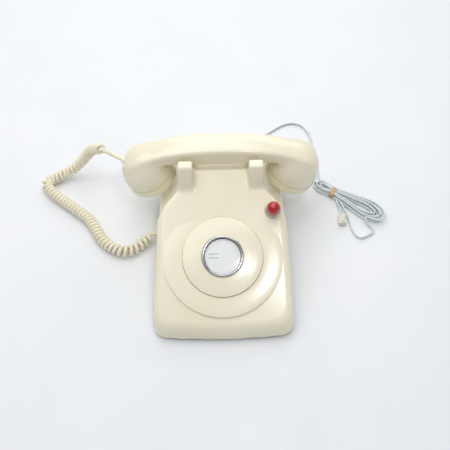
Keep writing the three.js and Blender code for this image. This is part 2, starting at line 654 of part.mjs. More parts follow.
function makeHandsetShell() {
  const handleZ = HANDLE_BOTTOM + HANDLE_THICK / 2;
  const arch = (point) => {
    const out = Math.abs(point.x);
    const overEars = Math.max(out - EAR_OUTER - 2, 0) / (HANDLE_REACH - EAR_OUTER - 2);
    const under = HANDLE_ARCH * overEars ** 1.6;
    const over = BACK_ARCH * (out / HANDLE_REACH) ** 2.5;
    point.z += handleZ - under - (over - under) * (point.z / HANDLE_THICK + 0.5);
    point.y += HANDLE_Y;
  };
  let solid = toSolid(warp(sideways(handleSection(), -HANDLE_REACH, HANDLE_REACH, 12, 4), arch));
  for (const side of [-1, 1]) {
    const cup = turned([
      [0, SEAM], [CUP_RADIUS - 0.6, SEAM], [CUP_RADIUS, SEAM + 4], [CUP_RADIUS - 1.5, SEAM + 12],
      [CUP_RADIUS - 6, SEAM + 22], [CUP_RADIUS - 13, SEAM + 31], [CUP_RADIUS - 22, SEAM + CUP_DOME - 2],
      [0, SEAM + CUP_DOME],
    ], 28);
    solid = solid.add(toSolid(ontoCup(cup, side)));
  }
  for (const side of [-1, 1]) {
    const bore = turned([
      [0, SEAM - 1], [CUP_BORE, SEAM - 1], [CUP_BORE, SEAM + 9], [18, SEAM + 20], [7, SEAM + 22],
      [7, SEAM + CUP_DOME - 5], [0, SEAM + CUP_DOME - 5],
    ], 20);
    solid = solid.subtract(toSolid(ontoCup(bore, side)));
  }
  const channel = lyingBar('x', 0, HANDLE_Y, handleZ - 8, 3, 2 * CUP_X + 24, 14);
  solid = solid.subtract(toSolid(channel));
  solid = solid.subtract(toSolid(handsetGland(GLAND_RADIUS + GAP, GLAND_LENGTH + 3 * GAP)));
  addMesh('handset_shell', toGeometry(solid), IVORY);
}

// Short sleeve where the curly cord enters the transmitter end of the handset.
function handsetGland(radius, length) {
  const gland = lyingBar('x', 0, 0, 0, radius, length, 14);
  return gland.rotateZ(-0.5).translate(-CUP_X - CUP_RADIUS + 1, HANDLE_Y - 1, GLAND_Z);
}

function makeCap(name, side) {
  const r = CAP_RADIUS;
  const cap = turned([
    [0, 1.2], [r - 9, 0.6], [r - 4, 0], [r - 1.2, 1], [r, 4], [r, CAP_HEIGHT - 0.6], [r - 0.6, CAP_HEIGHT],
    [CUP_BORE, CAP_HEIGHT], [CUP_BORE, CAP_FLOOR], [0, CAP_FLOOR],
  ], 32);
  addMesh(name, cap, IVORY, cupGroup(side));
}

function makeHandset() {
  makeHandsetShell();
  for (const [name, side] of [['transmitter', -1], ['receiver', 1]]) {
    makeCap(`${name}_cap`, side);
    const low = CAP_FLOOR + GAP;
    const capsule = turned([
      [0, low], [CAPSULE_RADIUS - 1, low], [CAPSULE_RADIUS, low + 1.5], [CAPSULE_RADIUS, low + 5],
      [CAPSULE_RADIUS - 4, low + CAPSULE_THICK], [0, low + CAPSULE_THICK],
    ], 32);
    addMesh(`${name}_capsule`, capsule, side < 0 ? STEEL : BLACK, cupGroup(side));
  }
  const seat = CAP_FLOOR + 2 * GAP + CAPSULE_THICK;
  addMesh('transmitter_cup', bar(0, 0, seat, 19, 2.5, 28), BLACK, cupGroup(-1));
  addMesh('handset_cord_gland', handsetGland(GLAND_RADIUS, GLAND_LENGTH), IVORY_CORD);
}

// ---------------------------------------------------------------- cords

// Straight lead from the handset's gland to the first turn of the curl.
const LEAD_ROUTE = [[-118.6, 78.3, 92], [-127, 83, 92.5], [-136, 90.5, 90], [-143.4, 97.6, 86.3]];

// Centre line of the curled part, from the lead down to the table and back to the housing.
const CURL_ROUTE = [
  [-144.4, 98.4, 85.5], [-152, 106.5, 79], [-162.5, 115, 64.5], [-172, 121, 47.5], [-183.5, 123.5, 29.5],
  [-199, 122, 14.5], [-214.5, 117, 8.9], [-227, 110, 8.2], [-228, 101, 8.2], [-217, 88, 8.2], [-201, 75, 8.2], [-184, 61, 8.2],
  [-169, 48, 8.2], [-160, 34, 8.2], [-151, 18, 8.2], [-137, 5, 8.2], [-122, -1, 8.2], [-109, 3, 8.2],
  [-99, 11, 9.5], [-90, 20, 12],
];

const LINE_ROUTE = [
  [30, 131, 9], [31, 142, 4], [38, 160, 2.8], [50, 176, 2.8], [67, 190, 2.8], [85, 202, 2.8], [100, 206, 2.8],
  [113, 201, 2.8], [122, 187, 2.8], [125, 167, 2.8], [127, 140, 2.8], [129, 120, 2.8], [131, 106, 3.4],
];

const TAIL_ROUTE = [[150, 68, 3], [152, 62, 2.9], [153, 56, 2.9], [153, 49, 2.9]];
const LOOP_ROUTE = [
  [191, 25, 2.8], [184, 19, 2.8], [175, 15, 2.8], [168, 19, 2.8], [164, 30, 2.8], [162, 42, 2.8], [161, 54, 2.8],
];

function makeCords() {
  addMesh('handset_cord_lead', cordTube(LEAD_ROUTE, LEAD_RADIUS, 6, 8), IVORY_CORD);
  addMesh('handset_cord_coil', cordTube(CURL_ROUTE, COIL_RADIUS, 34, 8), IVORY_CORD);
  const entry = lyingBar('x', 0, 0, 0, ENTRY_RADIUS, 12);
  addMesh('handset_cord_grommet', entry.translate(CURLY_ENTRY[0] + 0.5, CURLY_ENTRY[1], CURLY_ENTRY[2]), IVORY_CORD);
  const gland = lyingBar('y', 0, 0, 0, LINE_GROMMET_RADIUS, 14);
  addMesh('line_cord_grommet', gland.translate(LINE_EXIT[0], LINE_EXIT[1] + 3, LINE_EXIT[2]), BLACK);
  addMesh('line_cord', cordTube(LINE_ROUTE, LINE_RADIUS, 30, 8), SILVER_CORD);
  addMesh('line_cord_tail', cordTube(TAIL_ROUTE, LINE_RADIUS, 6, 8), SILVER_CORD);
  addMesh('line_cord_loop', cordTube(LOOP_ROUTE, LINE_RADIUS, 10, 8), SILVER_CORD);
  makeHank();
  makePlug();
}

// The bundle is drawn along its own X axis, with the band round its waist.
function makeHank() {
  const group = new THREE.Group();
  group.position.set(146, 84, 0);
  group.rotation.z = -0.62;
  phone.add(group);
  const shape = new THREE.Shape();
  shape.moveTo(-20, 12);
  shape.quadraticCurveTo(-32, 4, -24, -8);
  shape.quadraticCurveTo(-16, -14, -5, -6);
  shape.lineTo(5, -6);
  shape.quadraticCurveTo(34, -13, 54, -15);
  shape.quadraticCurveTo(72, -14, 74, 0);
  shape.quadraticCurveTo(72, 14, 54, 14);
  shape.quadraticCurveTo(30, 12, 5, 6);
  shape.lineTo(-5, 6);
  addMesh('line_cord_hank', raised(shape, 0.5, 0.5 + HANK_THICK, 6), SILVER_CORD, group);
  const band = cut(block(0, 0, 0.1, 7, 15, HANK_THICK + 1.6), block(0, 0, 0.5 - GAP, 9, 12 + 2 * GAP, HANK_THICK + 2 * GAP));
  addMesh('cord_band', band, TAN, group);
}

function makePlug() {
  const [width, length, height] = PLUG_SIZE;
  const y = 49 - GAP - length / 2;
  const body = join(block(153, y, 0.4, width, length, height), block(153, y - 1, height, 3.4, 9, 1.6));
  addMesh('line_plug', body, PLUG_PLASTIC);
}

makeHousing();
makeBase();
makeDialBlank();
makeLamp();
makeHookSwitch();
makeRinger();
makeNetwork();
makeHandset();
makeCords();

export default phone;
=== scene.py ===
"""Dial-less ivory desk telephone: fine surfaces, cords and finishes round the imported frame."""
import json
import math

import bmesh
import bpy
import numpy as np
from mathutils import Matrix, Vector


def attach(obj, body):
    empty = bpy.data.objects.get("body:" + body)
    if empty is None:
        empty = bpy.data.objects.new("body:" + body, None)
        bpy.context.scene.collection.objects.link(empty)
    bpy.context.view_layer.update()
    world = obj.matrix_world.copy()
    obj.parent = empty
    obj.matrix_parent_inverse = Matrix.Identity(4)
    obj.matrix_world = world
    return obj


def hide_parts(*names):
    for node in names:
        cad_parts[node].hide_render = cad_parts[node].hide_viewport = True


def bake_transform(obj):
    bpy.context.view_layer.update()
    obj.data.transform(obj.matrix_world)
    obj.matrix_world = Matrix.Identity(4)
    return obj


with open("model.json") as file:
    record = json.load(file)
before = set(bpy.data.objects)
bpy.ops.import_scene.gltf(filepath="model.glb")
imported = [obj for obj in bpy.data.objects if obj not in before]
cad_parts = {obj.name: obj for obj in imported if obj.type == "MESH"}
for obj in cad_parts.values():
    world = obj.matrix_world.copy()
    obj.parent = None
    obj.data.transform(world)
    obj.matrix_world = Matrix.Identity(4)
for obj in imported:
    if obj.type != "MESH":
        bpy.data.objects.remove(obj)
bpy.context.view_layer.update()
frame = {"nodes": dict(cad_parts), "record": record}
NODES = frame["nodes"]
MM = 0.001

# ---------------------------------------------------------------- sizes, in millimetres

FRONT, REAR = -120.0, 120.0
SHELL_BOTTOM = 3.0
WALL = 3.0
FACE_SLOPE = math.radians(23)
NOSE_Y, NOSE_Z = FRONT + 15, 27.0
SADDLE_Z = 97.0
HANDLE_Y = 76.5
HANDLE_HALF_WIDTH = 15.5
HANDLE_BOTTOM, HANDLE_TOP = 98.0, 124.0
HANDLE_ARCH, BACK_ARCH = 7.0, 24.0
HANDLE_REACH = 106.0
CUP_X, CUP_Z = 84.0, 56.0
CUP_TILT = math.radians(18)
SEAM = 12.35
BOSS_Y, BOSS_SLOPE, BOSS_RISE = -40.0, math.radians(21.4), 1.4
LAMP_X, LAMP_Y = 60.0, 10.0
LAMP_HEIGHT = 21.0
DOME_RADIUS = 7.9
LENS_BORE = 5.2
PLUNGER_X = 41.25
EAR_INNER, EAR_OUTER = 32.7, 49.8
TROUGH_Y, TROUGH_Z = 59.0, 76.0
HALF_WIDTH = 82.0
NECK_HALF = 50.0
BLANK_HOLE_RADIUS = 47.4
LAMP_HOLE_RADIUS = 7.1
PLUNGER_HOLE_RADIUS = 4.1
CURLY_HOLE_Y, CURLY_HOLE_RADIUS = 22.0, 3.5
LINE_HOLE_X, LINE_HOLE_RADIUS = 30.0, 4.5
CORD_HOLE_Z = 12.0


def face_z(y):
    return NOSE_Z + (y - NOSE_Y) * math.tan(FACE_SLOPE)


# ---------------------------------------------------------------- camera and studio

CAMERA_ELEVATION = math.radians(57)
CAMERA_DISTANCE = 900 * MM
CAMERA_ROLL = math.radians(1.3)
CAMERA_LENS = 59.3
LOOK_AT = Vector((3.6, 14.3, 40)) * MM


def make_camera():
    forward = Vector((0, math.cos(CAMERA_ELEVATION), -math.sin(CAMERA_ELEVATION)))
    up = Vector((0, math.sin(CAMERA_ELEVATION), math.cos(CAMERA_ELEVATION)))
    right = Vector((1, 0, 0))
    turned_right = right * math.cos(CAMERA_ROLL) - up * math.sin(CAMERA_ROLL)
    turned_up = right * math.sin(CAMERA_ROLL) + up * math.cos(CAMERA_ROLL)
    camera = bpy.data.objects.new("camera", bpy.data.cameras.new("camera"))
    camera.data.lens = CAMERA_LENS
    camera.data.clip_start = 0.01
    place = Matrix((turned_right, turned_up, -forward)).transposed().to_4x4()
    place.translation = LOOK_AT - forward * CAMERA_DISTANCE
    camera.matrix_world = place
    bpy.context.scene.collection.objects.link(camera)
    bpy.context.scene.camera = camera


def add_light(name, place, aim, size, power):
    light = bpy.data.lights.new(name, "AREA")
    light.shape = "RECTANGLE"
    light.size, light.size_y = size
    light.energy = power
    lamp = bpy.data.objects.new(name, light)
    lamp.location = place
    lamp.rotation_euler = (Vector(aim) - Vector(place)).to_track_quat("-Z", "Y").to_euler()
    bpy.context.scene.collection.objects.link(lamp)


def make_studio():
    world = bpy.data.worlds.new("studio")
    bpy.context.scene.world = world
    world.use_nodes = True
    world.node_tree.nodes["Background"].inputs["Color"].default_value = (1, 1, 1, 1)
    world.node_tree.nodes["Background"].inputs["Strength"].default_value = 0.42
    add_light("patch", (0.236, -0.407, 1.25), (0.04, -0.06, 0.05), (0.2, 0.16), 1.9)
    add_light("top", (-0.25, 0.35, 1.35), (0, 0, 0.05), (1.5, 1.2), 12)
    add_light("back", (0.2, 1.3, 0.9), (0, 0, 0.05), (1.6, 0.6), 5)
    bpy.context.scene.view_settings.view_transform = "Standard"
    make_floor()


def make_floor():
    floor = bpy.data.meshes.new("floor")
    reach = 3.0
    corners = [(-reach, -reach, 0), (reach, -reach, 0), (reach, reach, 0), (-reach, reach, 0)]
    floor.from_pydata(corners, [], [(0, 1, 2, 3)])
    table = bpy.data.objects.new("floor", floor)
    bpy.context.scene.collection.objects.link(table)
    table.data.materials.append(white_paper_sweep())


# ---------------------------------------------------------------- materials


def colour(hex_text):
    """sRGB hex to linear RGBA."""
    parts = [int(hex_text[i:i + 2], 16) / 255 for i in (1, 3, 5)]
    linear = [c / 12.92 if c <= 0.04045 else ((c + 0.055) / 1.055) ** 2.4 for c in parts]
    return (*linear, 1.0)


def add_node(tree, kind, settings=(), links=()):
    """One node with its settings, by socket name or property name, and the links into it."""
    node = tree.nodes.new(kind)
    for name, value in dict(settings).items():
        if name in node.inputs:
            node.inputs[name].default_value = value
        else:
            setattr(node, name, value)
    for name, source in dict(links).items():
        tree.links.new(source, node.inputs[name])
    return node


def new_material(name, settings):
    material = bpy.data.materials.new(name)
    material.use_nodes = True
    shader = material.node_tree.nodes["Principled BSDF"]
    for socket, value in settings.items():
        shader.inputs[socket].default_value = value
    return material, material.node_tree, shader


def add_mottle(tree, shader, shades, size_mm, detail=3.0):
    """Slow change between two close shades, one patch every size_mm."""
    place = add_node(tree, "ShaderNodeTexCoord")
    noise = add_node(tree, "ShaderNodeTexNoise", {"Scale": 1 / (size_mm * MM), "Detail": detail},
                     {"Vector": place.outputs["Object"]})
    ramp = add_node(tree, "ShaderNodeValToRGB", links={"Fac": noise.outputs["Fac"]})
    ramp.color_ramp.elements[0].position = 0.3
    ramp.color_ramp.elements[1].position = 0.7
    ramp.color_ramp.elements[0].color = colour(shades[0])
    ramp.color_ramp.elements[1].color = colour(shades[1])
    tree.links.new(ramp.outputs["Color"], shader.inputs["Base Color"])
    return place


def add_grain(tree, shader, place, size_mm, height_mm, rough=(0.2, 0.3)):
    """Fine surface grain that moves both the normal and the roughness."""
    noise = add_node(tree, "ShaderNodeTexNoise", {"Scale": 1 / (size_mm * MM), "Detail": 4.0},
                     {"Vector": place.outputs["Object"]})
    bump = add_node(tree, "ShaderNodeBump", {"Strength": 0.6, "Distance": height_mm * MM},
                    {"Height": noise.outputs["Fac"]})
    spread = add_node(tree, "ShaderNodeMapRange", {"To Min": rough[0], "To Max": rough[1]},
                      {"Value": noise.outputs["Fac"]})
    tree.links.new(bump.outputs["Normal"], shader.inputs["Normal"])
    tree.links.new(spread.outputs["Result"], shader.inputs["Roughness"])


def white_paper_sweep():
    material, tree, shader = new_material("white_paper_sweep", {"Roughness": 0.9})
    add_mottle(tree, shader, ("#e9ecf0", "#edeff3"), 120)
    return material


def aged_ivory_abs():
    """Injection-moulded ABS in ivory: high gloss, a faint orange peel, yellowed unevenly with age."""
    material, tree, shader = new_material("aged_ivory_abs", {
        "IOR": 1.53, "Subsurface Weight": 0.03, "Subsurface Scale": 0.002, "Coat Weight": 0.15,
        "Coat Roughness": 0.12,
    })
    shader.inputs["Subsurface Radius"].default_value = (1.0, 0.8, 0.5)
    place = add_mottle(tree, shader, ("#efe8cf", "#f3edd6"), 60)
    add_grain(tree, shader, place, 2.2, 0.008, (0.15, 0.22))
    return material


def ivory_vinyl():
    """Flexible PVC jacket of the curly cord: satin, a little darker and warmer than the mouldings."""
    material, tree, shader = new_material("ivory_vinyl", {"IOR": 1.5})
    place = add_mottle(tree, shader, ("#ece4ca", "#f2ebd6"), 18)
    add_grain(tree, shader, place, 0.9, 0.03, (0.34, 0.48))
    return material


def silver_satin_vinyl():
    """Flat line cord in silver satin PVC: grey with a slight metallic flake and a soft sheen."""
    material, tree, shader = new_material("silver_satin_vinyl", {"IOR": 1.5, "Metallic": 0.1})
    place = add_mottle(tree, shader, ("#d3dcdf", "#e2e9eb"), 3)
    add_grain(tree, shader, place, 0.5, 0.02, (0.3, 0.42))
    return material


def polished_chrome():
    """Chrome plate on brass: mirror bright with hair-fine wipe marks."""
    material, tree, shader = new_material("polished_chrome", {"Metallic": 1.0})
    place = add_mottle(tree, shader, ("#b9babc", "#c6c7c9"), 6)
    add_grain(tree, shader, place, 0.8, 0.004, (0.08, 0.16))
    return material


def white_card():
    """Uncoated white card: matt, with faint fibres."""
    material, tree, shader = new_material("white_card", {"IOR": 1.4})
    place = add_mottle(tree, shader, ("#f4f6f8", "#f8f9fa"), 2.5)
    add_grain(tree, shader, place, 0.3, 0.02, (0.75, 0.9))
    return material


def grey_print():
    """Printer's grey ink on the card."""
    material, tree, shader = new_material("grey_print", {"IOR": 1.4})
    place = add_mottle(tree, shader, ("#8b8f94", "#989ca0"), 0.8)
    add_grain(tree, shader, place, 0.3, 0.01, (0.6, 0.8))
    return material


def clear_acetate():
    """Thin clear window over the card: almost invisible, with a sharp reflection."""
    material, tree, shader = new_material("clear_acetate", {
        "IOR": 1.49, "Transmission Weight": 1.0, "Base Color": colour("#fbfcfc"), "Alpha": 0.25,
    })
    place = add_node(tree, "ShaderNodeTexCoord")
    add_grain(tree, shader, place, 4.0, 0.004, (0.02, 0.06))
    return material


def red_lamp_acrylic():
    """Polished translucent red acrylic of the signal lamp."""
    material, tree, shader = new_material("red_lamp_acrylic", {
        "IOR": 1.49, "Subsurface Weight": 0.35, "Subsurface Scale": 0.003, "Coat Weight": 0.6,
        "Coat Roughness": 0.04,
    })
    shader.inputs["Subsurface Radius"].default_value = (1.0, 0.1, 0.1)
    place = add_mottle(tree, shader, ("#a80f1c", "#c01824"), 5)
    add_grain(tree, shader, place, 1.2, 0.01, (0.1, 0.18))
    return material


def black_phenolic():
    """Compression-moulded black phenolic: dark brownish black, satin."""
    material, tree, shader = new_material("black_phenolic", {"IOR": 1.6})
    place = add_mottle(tree, shader, ("#161514", "#24211f"), 5)
    add_grain(tree, shader, place, 0.8, 0.02, (0.3, 0.5))
    return material


def zinc_plated_steel():
    """Zinc-plated sheet steel: bluish grey with the soft spangle of the plating."""
    material, tree, shader = new_material("zinc_plated_steel", {"Metallic": 1.0})
    place = add_mottle(tree, shader, ("#8c9093", "#a8acae"), 7)
    add_grain(tree, shader, place, 1.5, 0.02, (0.3, 0.48))
    return material


def lacquered_brass():
    """Spun brass under clear lacquer: warm, with faint turning marks."""
    material, tree, shader = new_material("lacquered_brass", {"Metallic": 1.0, "Coat Weight": 0.3})
    place = add_mottle(tree, shader, ("#a98545", "#bb9857"), 9)
    add_grain(tree, shader, place, 0.6, 0.01, (0.2, 0.34))
    return material


def taped_winding():
    """Enamelled copper winding under amber tape."""
    material, tree, shader = new_material("taped_winding", {"IOR": 1.5})
    place = add_mottle(tree, shader, ("#7c3c17", "#96552a"), 1.5)
    add_grain(tree, shader, place, 0.4, 0.05, (0.35, 0.5))
    return material


def foot_rubber():
    """Moulded black rubber, dull and a little dusty."""
    material, tree, shader = new_material("foot_rubber", {"IOR": 1.5})
    place = add_mottle(tree, shader, ("#22211f", "#34322f"), 3)
    add_grain(tree, shader, place, 0.6, 0.05, (0.8, 0.95))
    return material


def plug_polycarbonate():
    """Clear polycarbonate of the modular plug, gone slightly yellow."""
    material, tree, shader = new_material("plug_polycarbonate", {
        "IOR": 1.58, "Transmission Weight": 0.2, "Subsurface Weight": 0.2, "Subsurface Scale": 0.002,
    })
    place = add_mottle(tree, shader, ("#edeadd", "#f5f3ea"), 4)
    add_grain(tree, shader, place, 1.0, 0.01, (0.12, 0.22))
    return material


def gold_contact():
    """Gold-flashed spring contacts of the plug."""
    material, tree, shader = new_material("gold_contact", {"Metallic": 1.0})
    place = add_mottle(tree, shader, ("#c79a43", "#d8ae58"), 1)
    add_grain(tree, shader, place, 0.4, 0.005, (0.18, 0.3))
    return material


def tan_rubber_band():
    """Natural rubber band: tan, dull, slightly perished."""
    material, tree, shader = new_material("tan_rubber_band", {"IOR": 1.5})
    place = add_mottle(tree, shader, ("#c3a279", "#d1b28b"), 2)
    add_grain(tree, shader, place, 0.5, 0.06, (0.6, 0.8))
    return material


# ---------------------------------------------------------------- mesh helpers


def make_object(name, verts, faces, material, smooth=True):
    """A mesh object from points in millimetres."""
    mesh = bpy.data.meshes.new(name)
    points = [tuple(float(c) * MM for c in v) for v in verts]
    mesh.from_pydata(points, [], [tuple(map(int, f)) for f in faces])
    mesh.update()
    mesh.materials.append(material)
    if smooth:
        mesh.polygons.foreach_set("use_smooth", [True] * len(mesh.polygons))
    piece = bpy.data.objects.new(name, mesh)
    bpy.context.scene.collection.objects.link(piece)
    return piece


def finish(piece, body, slot, *nodes):
    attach(piece, body)
    if nodes:
        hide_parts(*nodes)
    return piece


def lathe(name, profile, material, place, segments=96):
    """A turned piece from a closed outline of (radius, height); a point on the axis has radius 0."""
    verts, rings = [], []
    for radius, height in profile:
        if radius < 1e-6:
            rings.append([len(verts)])
            verts.append((0, 0, height))
            continue
        rings.append(list(range(len(verts), len(verts) + segments)))
        for k in range(segments):
            angle = 2 * math.pi * k / segments
            verts.append((radius * math.cos(angle), radius * math.sin(angle), height))
    faces = []
    closed = profile[0][0] > 1e-6
    pairs = list(zip(rings, rings[1:] + ([rings[0]] if closed else [])))
    for a, b in pairs:
        for k in range(segments):
            n = (k + 1) % segments
            if len(a) == 1 and len(b) == 1:
                continue
            if len(a) == 1:
                faces.append((a[0], b[n], b[k]))
            elif len(b) == 1:
                faces.append((a[k], a[n], b[0]))
            else:
                faces.append((a[k], a[n], b[n], b[k]))
    placed = [place @ Vector(v) for v in verts]
    piece = make_object(name, placed, faces, material)
    outwards(piece)
    crease(piece)
    return piece


def outwards(piece):
    bm = bmesh.new()
    bm.from_mesh(piece.data)
    bmesh.ops.recalc_face_normals(bm, faces=bm.faces)
    bm.to_mesh(piece.data)
    bm.free()


def crease(piece, degrees=38):
    """Sharp shading only across edges steeper than this."""
    piece.data.set_sharp_from_angle(angle=math.radians(degrees))


def rounded(profile, radius, steps=4):
    """Rounds every corner of a closed outline that doesn't lie on the axis."""
    points = [Vector(p) for p in profile]
    result = []
    for i, p in enumerate(points):
        before, after = points[i - 1], points[(i + 1) % len(points)]
        if p.x < 1e-6:
            result.append(tuple(p))
            continue
        reach = min(radius, (before - p).length / 2.2, (after - p).length / 2.2)
        start = p + (before - p).normalized() * reach
        end = p + (after - p).normalized() * reach
        for k in range(steps + 1):
            t = k / steps
            result.append(tuple(start * (1 - t) ** 2 + p * (2 * t * (1 - t)) + end * t ** 2))
    return result


def on_face(x, y, slope=FACE_SLOPE, rise=0.0):
    return Matrix.Translation((x, y, face_z(y) + rise)) @ Matrix.Rotation(slope, 4, "X")


def in_cup(side):
    return Matrix.Translation((side * CUP_X, HANDLE_Y, CUP_Z)) @ Matrix.Rotation(side * CUP_TILT, 4, "Y")


# ---------------------------------------------------------------- smooth fields and their surfaces


def smooth_max(a, b, k):
    h = np.clip(0.5 + 0.5 * (a - b) / k, 0, 1)
    return b + (a - b) * h + k * h * (1 - h)


def smooth_min(a, b, k):
    return -smooth_max(-a, -b, k)


def surface_net(field, low, high, cell):
    """Quads round the zero surface of a field that is negative inside, pulled onto the surface."""
    low = np.array(low, float)
    counts = np.ceil((np.array(high, float) - low) / cell).astype(int) + 1
    axes = [low[i] + cell * np.arange(counts[i]) for i in range(3)]
    grid = np.stack(np.meshgrid(*axes, indexing="ij"), -1)
    values = field(grid[..., 0], grid[..., 1], grid[..., 2])
    inside = values < 0
    cells = tuple(counts - 1)
    total = np.zeros(cells + (3,))
    hits = np.zeros(cells)
    crossings = []
    for axis in range(3):
        start = [slice(None)] * 3
        stop = [slice(None)] * 3
        start[axis] = slice(0, -1)
        stop[axis] = slice(1, None)
        start, stop = tuple(start), tuple(stop)
        cross = inside[start] != inside[stop]
        gap = np.where(cross, values[start] - values[stop], 1.0)
        point = grid[start].copy()
        point[..., axis] += cell * np.where(cross, values[start] / gap, 0)
        b, c = (axis + 1) % 3, (axis + 2) % 3
        for db in (0, 1):
            for dc in (0, 1):
                part = [slice(None)] * 3
                part[b] = slice(db, counts[b] - 1 + db)
                part[c] = slice(dc, counts[c] - 1 + dc)
                part = tuple(part)
                total += np.where(cross[part][..., None], point[part], 0)
                hits += cross[part]
        crossings.append((cross, inside[start]))
    used = hits > 0
    index = np.full(cells, -1)
    index[used] = np.arange(used.sum())
    verts = total[used] / hits[used][:, None]
    faces = []
    for axis, (cross, first) in enumerate(crossings):
        b, c = (axis + 1) % 3, (axis + 2) % 3
        spots = np.argwhere(cross)
        keep = (spots[:, b] > 0) & (spots[:, b] < counts[b] - 1)
        keep &= (spots[:, c] > 0) & (spots[:, c] < counts[c] - 1)
        spots = spots[keep]
        ring = []
        for db, dc in ((-1, -1), (0, -1), (0, 0), (-1, 0)):
            near = spots.copy()
            near[:, b] += db
            near[:, c] += dc
            ring.append(index[tuple(near.T)])
        quad = np.stack(ring, 1)
        flip = ~first[tuple(spots.T)]
        quad[flip] = quad[flip][:, ::-1]
        faces.append(quad)
    return pull_onto(field, verts, cell), np.concatenate(faces)


def pull_onto(field, verts, cell, rounds=4, step=0.05):
    for _ in range(rounds):
        value = field(*verts.T)
        slope = np.stack([
            (field(*(verts + step * np.eye(3)[i]).T) - field(*(verts - step * np.eye(3)[i]).T)) / (2 * step)
            for i in range(3)
        ], 1)
        move = -value[:, None] * slope / np.maximum((slope ** 2).sum(1, keepdims=True), 0.2)
        verts = verts + np.clip(move, -0.3 * cell, 0.3 * cell)
    return verts


# ---------------------------------------------------------------- housing


def body_field(x, y, z):
    """The housing's outer skin without the ears; negative inside."""
    ax = np.abs(x)
    t = (y / 105 + 1) / 2
    side = ax - (HALF_WIDTH - 5 * np.clip(t, 0, 1.1) ** 2 - 0.07 * z)
    front = FRONT + 3 * (ax / 67) ** 2 + 0.11 * z - y
    rear = y - REAR + 0.02 * z
    face = (z - face_z(y)) * math.cos(FACE_SLOPE)
    top = smooth_max(face, z - SADDLE_Z, 4)
    top = smooth_max(top, (z - SADDLE_Z + 0.91 * (y - 100)) * 0.74, 5)
    wall = smooth_max(smooth_max(side, front, 17), rear, 12)
    f = smooth_max(wall, top, 9)
    back = y - FRONT
    shoulder = ((ax - 50) * 15 + (back - 156) * 18) / 23.4
    flank = ((ax - 68) * 14 + (back - 141) * 7) / 15.65
    scoop = smooth_max(NECK_HALF - ax, -smooth_max(shoulder, flank, 6), 10)
    scoop = smooth_max(scoop, 127 - back, 8)
    scoop = smooth_max(scoop, (60 - 0.7 * (ax - NECK_HALF) - z) * 0.82, 16)
    f = smooth_max(f, -scoop, 5)
    trough = smooth_max(smooth_max(ax - EAR_INNER, TROUGH_Y - y, 4), TROUGH_Z - z, 5)
    return smooth_max(f, -trough, 3)


def ear_field(x, y, z):
    """The two front and two rear ears of the cradle."""
    ax = np.abs(x)
    sides = smooth_max(EAR_INNER - ax, ax - EAR_OUTER, 1)
    lean = (-(y - 35) * 29.6 + (z - 86.4) * 9) / 30.9
    front_ear = smooth_max(lean, y - 56 + 0.03 * (z - 95), 3)
    front_ear = smooth_max(smooth_max(front_ear, z - 116, 3), 78 - z, 1)
    rear_ear = smooth_max(95 + 0.05 * (z - 93) - y, (y - 107 + 0.57 * (z - 93)) * 0.87, 2)
    rear_ear = smooth_max(smooth_max(rear_ear, z - 103, 2), 78 - z, 1)
    return smooth_max(np.minimum(front_ear, rear_ear), sides, 2.5)


def housing_field(x, y, z):
    """The whole shell with its ears, hollow inside, and the holes through it."""
    skin = body_field(x, y, z)
    f = smooth_min(skin, ear_field(x, y, z), 3.5)
    f = np.maximum(f, SHELL_BOTTOM - z)
    f = np.maximum(f, -(skin + WALL))
    boss_z = face_z(BOSS_Y) + BOSS_RISE
    up_slope = (y - BOSS_Y) * math.cos(BOSS_SLOPE) + (z - boss_z) * math.sin(BOSS_SLOPE)
    f = np.maximum(f, BLANK_HOLE_RADIUS - np.hypot(x, up_slope))
    lamp_slope = (y - LAMP_Y) * math.cos(FACE_SLOPE) + (z - face_z(LAMP_Y)) * math.sin(FACE_SLOPE)
    lamp = LAMP_HOLE_RADIUS - np.hypot(x - LAMP_X, lamp_slope)
    f = np.where(z > 55, np.maximum(f, lamp), f)
    plunger = PLUNGER_HOLE_RADIUS - np.hypot(np.abs(x) - PLUNGER_X, y - HANDLE_Y)
    f = np.where(z > 80, np.maximum(f, plunger), f)
    curly = CURLY_HOLE_RADIUS - np.hypot(y - CURLY_HOLE_Y, z - CORD_HOLE_Z)
    f = np.where(x < -70, np.maximum(f, curly), f)
    line = LINE_HOLE_RADIUS - np.hypot(x - LINE_HOLE_X, z - CORD_HOLE_Z)
    return np.where(y > 110, np.maximum(f, line), f)


def make_housing(ivory):
    verts, faces = surface_net(housing_field, (-86, -124, 0.4), (86, 124, 119), 1.6)
    piece = make_object("housing_shell", verts, faces, ivory)
    boss = lathe("housing_boss", rounded([
        (47, -6), (70, -6), (70, -0.7), (62, -0.2), (54, 0), (47, 0),
    ], 0.9), ivory, on_face(0, BOSS_Y, BOSS_SLOPE, BOSS_RISE), 144)
    finish(piece, "telephone", "ivory_shell", "housing")
    finish(boss, "telephone", "ivory_shell")


# ---------------------------------------------------------------- dial blank, ring and card


